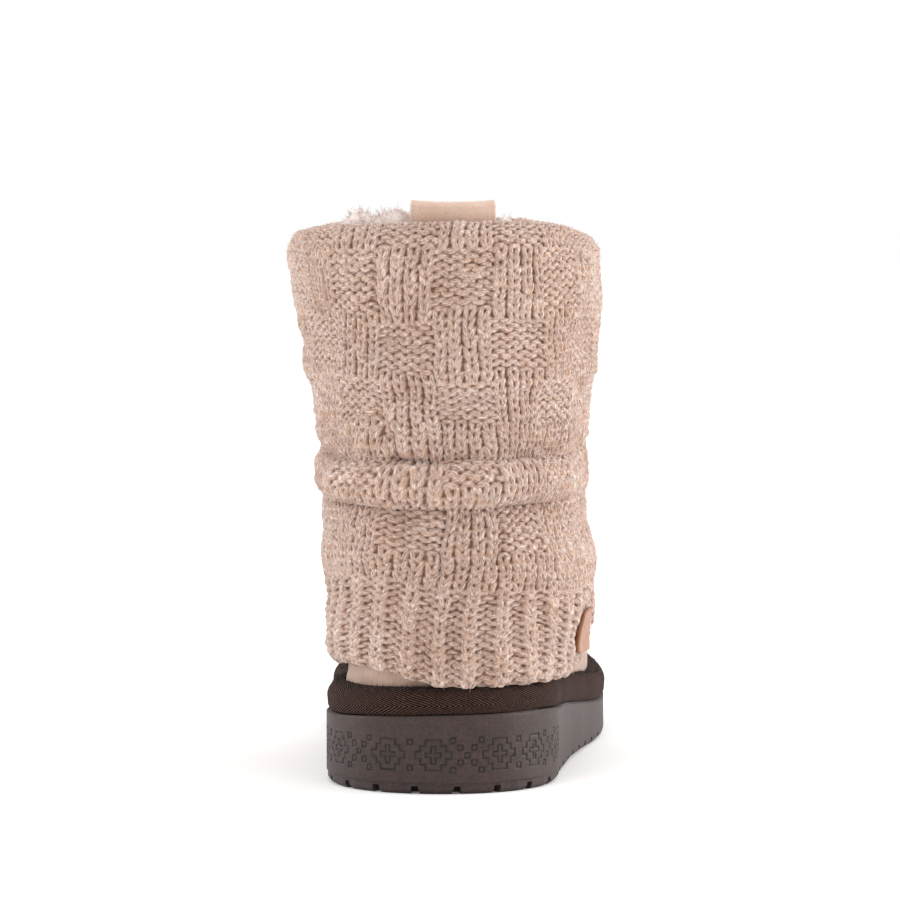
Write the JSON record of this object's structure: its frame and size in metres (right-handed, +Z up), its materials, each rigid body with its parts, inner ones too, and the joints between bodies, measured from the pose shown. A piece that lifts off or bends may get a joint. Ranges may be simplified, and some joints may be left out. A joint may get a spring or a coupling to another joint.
{
  "type": "ankle-height sweater boot",
  "caption": "Right-foot ankle boot with a knitted sweater sleeve over the shaft, pile-lined collar, back pull loop, twill foxing and a wedge rubber sole.",
  "frame": {"origin": "middle of the heel's tread, on the floor", "axes": "+Y from the heel towards the toe, +X towards the outer side of the right foot, +Z up the shaft"},
  "size_m": [0.1113, 0.2791, 0.1991],
  "materials": {
    "moulded_rubber": "matt dark brown moulded rubber with pressed ornament at the heel",
    "twill_tape": "dark brown herringbone twill",
    "pile_insole": "short cream pile",
    "suede": "pale tan suede with a short nap",
    "heathered_knit": "chunky heathered pinkish-beige knit in block and rib stitches",
    "pile_lining": "deep cream pile in locks",
    "strap_suede": "smooth tan split leather",
    "tan_leather": "smooth tan leather, bare"
  },
  "bodies": {
    "root": {"outsole": "moulded_rubber", "foxing_tape": "twill_tape", "insole": "pile_insole", "upper": "suede", "knit_sleeve": "heathered_knit", "fur_collar": "pile_lining", "pull_loop": "strap_suede", "leather_patch": "tan_leather"}
  },
  "joints": []
}
